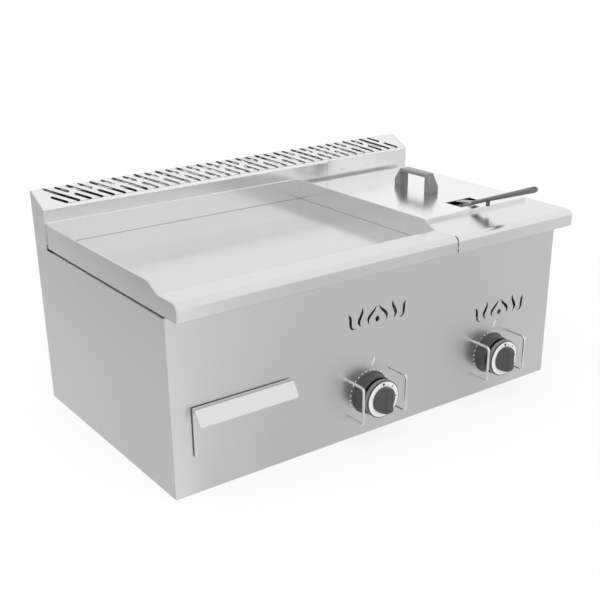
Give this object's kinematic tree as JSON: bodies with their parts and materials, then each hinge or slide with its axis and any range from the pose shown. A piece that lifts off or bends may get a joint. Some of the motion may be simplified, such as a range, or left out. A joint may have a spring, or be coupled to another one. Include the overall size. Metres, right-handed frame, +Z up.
{
  "type": "countertop gas griddle with fryer",
  "caption": "Countertop gas griddle with splash walls, front rim and grease drawer, beside a lidded deep fryer with basket, on one cabinet with a slotted rear flue.",
  "frame": {"origin": "centre of the cabinet's footprint, on the surface it stands on", "axes": "+Z up, +X to the right along the cabinet's width, +Y to the rear; the controls face -Y"},
  "size_m": [0.806, 0.5468, 0.3867],
  "materials": {
    "cabinet_steel": "fine brushed stainless sheet",
    "deck_steel": "satin stainless, polished folds",
    "plate_steel": "ground steel cooking plate",
    "polished_steel": "bright polished stainless",
    "wire_steel": "bright wire",
    "basket_wire": "nickel-plated wire",
    "black_plastic": "heat-resistant moulded plastic",
    "handle_black": "heat-resistant moulded plastic",
    "grip_grey": "dark grey moulded grip",
    "dial_white": "pale printed ring",
    "valve_brass": "machined brass",
    "burner_steel": "heat-tinted steel tube",
    "shield_steel": "aluminised sheet",
    "pipe_steel": "galvanised pipe"
  },
  "bodies": {
    "cabinet": {"left_side_panel": "cabinet_steel", "right_side_panel": "cabinet_steel", "base_pan": "cabinet_steel", "front_panel": "cabinet_steel", "rear_panel": "cabinet_steel", "centre_bulkhead": "cabinet_steel", "plate_support_rails": "cabinet_steel", "drawer_runners": "cabinet_steel", "flue_hood": "deck_steel", "flue_end_cap_left": "deck_steel", "flue_end_cap_right": "deck_steel", "flue_front_cover": "deck_steel", "griddle_left_wall": "deck_steel", "griddle_divider_wall": "deck_steel", "griddle_rear_wall": "deck_steel", "griddle_front_rim": "deck_steel", "grease_chute": "deck_steel", "griddle_plate": "plate_steel", "fryer_worktop": "polished_steel", "fryer_tank": "polished_steel", "basket_rest": "polished_steel", "griddle_knob_guards": "wire_steel", "fryer_knob_guards": "wire_steel", "guard_nuts": "wire_steel", "flue_cover_screws": "wire_steel", "rear_panel_screws": "wire_steel", "knob_bezels": "black_plastic", "griddle_gas_valve": "valve_brass", "fryer_gas_valve": "valve_brass", "gas_injectors": "valve_brass", "gas_supply_tubes": "valve_brass", "thermocouples": "valve_brass", "griddle_burner": "burner_steel", "fryer_burner": "burner_steel", "griddle_burner_cradle": "burner_steel", "fryer_burner_cradle": "burner_steel", "pilot_burners": "burner_steel", "fryer_heat_shield": "shield_steel", "griddle_heat_deflector": "shield_steel", "manifold_brackets": "shield_steel", "gas_manifold": "pipe_steel", "gas_inlet_pipe": "pipe_steel"},
    "grease_drawer": {"drawer_tray": "deck_steel", "drawer_front": "deck_steel", "drawer_pull": "deck_steel"},
    "lid": {"fryer_lid": "polished_steel", "lid_handle": "handle_black", "lid_handle_screws": "wire_steel"},
    "basket": {"basket_frame": "basket_wire", "basket_mesh": "basket_wire", "basket_handle_rods": "basket_wire", "basket_handle_grip": "grip_grey"},
    "griddle_push": {"griddle_valve_plunger": "wire_steel"},
    "griddle_control": {"griddle_knob": "black_plastic", "griddle_dial": "dial_white", "griddle_spindle": "wire_steel"},
    "fryer_push": {"fryer_valve_plunger": "wire_steel"},
    "fryer_control": {"fryer_knob": "black_plastic", "fryer_dial": "dial_white", "fryer_spindle": "wire_steel"}
  },
  "joints": [
    {"name": "grease_drawer_slide", "type": "slide", "parent": "cabinet", "child": "grease_drawer", "axis": [0, -1, 0], "range_m": [0, 0.2]},
    {"name": "lid_lift", "type": "slide", "parent": "cabinet", "child": "lid", "axis": [0, 0, 1], "range_m": [0, 0.2]},
    {"name": "basket_lift", "type": "slide", "parent": "cabinet", "child": "basket", "axis": [0, 0, 1], "range_m": [0, 0.2]},
    {"name": "griddle_knob_push", "type": "slide", "parent": "cabinet", "child": "griddle_push", "axis": [0, 1, 0], "range_m": [0, 0.004], "stiffness_N_per_m": 800},
    {"name": "griddle_knob_turn", "type": "hinge", "parent": "griddle_push", "child": "griddle_control", "pos_m": [-0.027, -0.264, 0.074], "axis": [0, -1, 0], "range_deg": [0, 210]},
    {"name": "fryer_knob_push", "type": "slide", "parent": "cabinet", "child": "fryer_push", "axis": [0, 1, 0], "range_m": [0, 0.004], "stiffness_N_per_m": 800},
    {"name": "fryer_knob_turn", "type": "hinge", "parent": "fryer_push", "child": "fryer_control", "pos_m": [0.255, -0.264, 0.074], "axis": [0, -1, 0], "range_deg": [0, 210]}
  ],
  "couplings": [
    {"joint": "basket_lift", "follows": "lid_lift", "ratio": 1}
  ]
}
